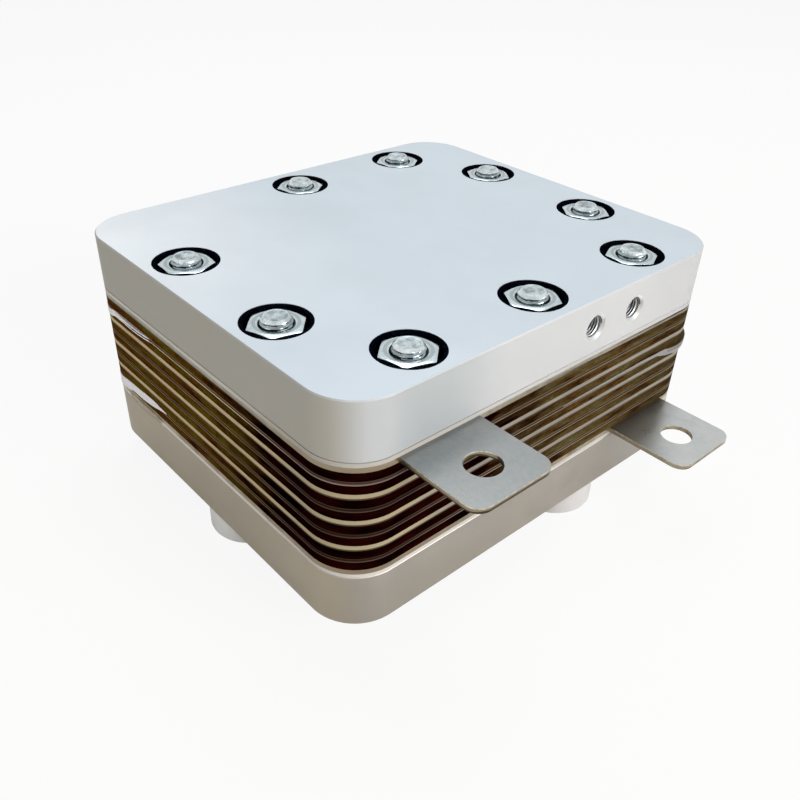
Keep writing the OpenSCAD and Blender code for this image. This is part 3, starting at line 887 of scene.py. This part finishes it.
def paint_cells():
    paint(frame_material(), *in_cells("anode_frame"), *in_cells("cathode_frame"))
    paint(bipolar_material(), *in_cells("bipolar_plate", range(1, CELLS)))
    paint(membrane_material(), *in_cells("membrane"))
    paint(felt_material("metal_felt", (0.48, 0.48, 0.48), (0.22, 0.22, 0.23), 0.6), *in_cells("anode_felt"))
    paint(felt_material("carbon_felt", (0.06, 0.06, 0.065), (0.02, 0.02, 0.022), 0.0),
          *in_cells("cathode_felt"))
    paint_lower_seals()
    paint_upper_seals()


def paint_small_parts(zinc):
    paint(rubber_material(), "ring_seals")
    paint(cup_material(), "insulating_sleeves")
    paint(foot_material(), "feet")
    paint(zinc, "washers", "foot_screws")


# Camera, lights and floor

def make_camera():
    """The photo's view, as a fit to the plates' edges gave it."""
    azimuth, elevation, roll = (math.radians(v) for v in (-42.4232, 34.1729, 1.9290))
    aside, down_by, away = 0.3868 * MM, 20.0183 * MM, 254.4126 * MM
    photo_width, focal, sensor = 800, 837.686, 36
    back = Vector((math.sin(azimuth) * math.cos(elevation), -math.cos(azimuth) * math.cos(elevation),
                   math.sin(elevation)))
    level_right = (-back).cross(Vector((0, 0, 1))).normalized()
    level_up = level_right.cross(-back)
    right = math.cos(roll) * level_right + math.sin(roll) * level_up
    up = -math.sin(roll) * level_right + math.cos(roll) * level_up
    centre = Vector((0, PLATES_MID_Y, (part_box("bottom_end_plate")[0].z + PLATE_HIGH.z) / 2))
    data = bpy.data.cameras.new("camera")
    data.sensor_width = sensor
    data.lens = focal / photo_width * sensor
    data.clip_start, data.clip_end = 0.01, 20
    camera = bpy.data.objects.new("camera", data)
    bpy.context.scene.collection.objects.link(camera)
    turn = Matrix((right, up, back)).transposed()
    place = centre + back * away + right * aside - up * down_by
    camera.matrix_world = Matrix.Translation(place) @ turn.to_4x4()
    bpy.context.scene.camera = camera


def make_lamp(name, place, size, power, colour):
    """Rectangular lamp that shines on the object's middle."""
    target = Vector((0, 0.01, 0.04))
    data = bpy.data.lights.new(name, "AREA")
    data.shape = "RECTANGLE"
    data.size, data.size_y = size
    data.energy = power
    data.color = colour
    lamp = bpy.data.objects.new(name, data)
    bpy.context.scene.collection.objects.link(lamp)
    lamp.location = place
    lamp.rotation_mode = "QUATERNION"
    lamp.rotation_quaternion = (target - Vector(place)).to_track_quat("-Z", "Y")


def make_lights():
    make_lamp("key", (0.20, -0.98, 0.40), (0.9, 0.5), 12.5, (1.0, 0.99, 0.98))
    make_lamp("fill", (-1.0, 0.0, 0.25), (0.8, 0.5), 2.2, (1.0, 0.99, 0.98))
    make_lamp("top", (0.25, 0.27, 1.0), (0.6, 0.6), 5.0, (0.92, 0.97, 1.0))


def make_world():
    """Plain grey light. What the camera sees past the floor, and what shiny parts mirror of it, is white."""
    world = bpy.data.worlds.new("studio")
    bpy.context.scene.world = world
    world.use_nodes = True
    w = Nodes(world.node_tree)
    path = w.add("ShaderNodeLightPath").outputs
    seen = w.larger(path["Is Camera Ray"], w.larger(path["Is Glossy Ray"], path["Is Transmission Ray"]))
    w.link(w.mix(seen, (0.16, 0.163, 0.166), (1.0, 1.0, 1.0)), w.tree.nodes["Background"].inputs["Color"])


def floor_material():
    """Pale floor that the camera sees nearly white, with the object's shadow left in it."""
    s = Shader("pale_floor")
    s.colour(s.mottle(s.noise(6, 2), (0.80, 0.78, 0.74), (0.82, 0.80, 0.76), 0.3, 0.7))
    s.fixed(Roughness=0.9)
    path = s.add("ShaderNodeLightPath").outputs
    mirrored = s.larger(path["Is Glossy Ray"], path["Is Transmission Ray"])
    glow = s.add("ShaderNodeEmission")
    glow.inputs["Color"].default_value = (1, 1, 1, 1)
    both = s.add("ShaderNodeMixShader")
    s.link(s.larger(s.times(path["Is Camera Ray"], 0.90), s.times(mirrored, 0.12)), both.inputs["Fac"])
    s.link(s.bsdf.outputs[0], both.inputs[1])
    s.link(glow.outputs[0], both.inputs[2])
    s.link(both.outputs[0], s.tree.nodes["Material Output"].inputs["Surface"])
    return s.material


def make_floor():
    half = 3
    mesh = bpy.data.meshes.new("floor")
    mesh.from_pydata([(-half, -half, 0), (half, -half, 0), (half, half, 0), (-half, half, 0)], [],
                     [(0, 1, 2, 3)])
    mesh.materials.append(floor_material())
    floor = bpy.data.objects.new("floor", mesh)
    bpy.context.scene.collection.objects.link(floor)


make_camera()
make_lights()
make_world()
make_floor()
bpy.context.scene.view_settings.view_transform = "Standard"

zinc = zinc_material("zinc_plate", (0.57, 0.65, 0.68), (0.42, 0.50, 0.53), 0.14, 0.28)
groove = groove_shade_material()
paint_end_plates()
paint_collectors()
paint_insulators()
paint_cells()
paint_small_parts(zinc)
make_nuts(zinc, groove)
make_studs(groove)
make_port_threads(groove)
make_curls()
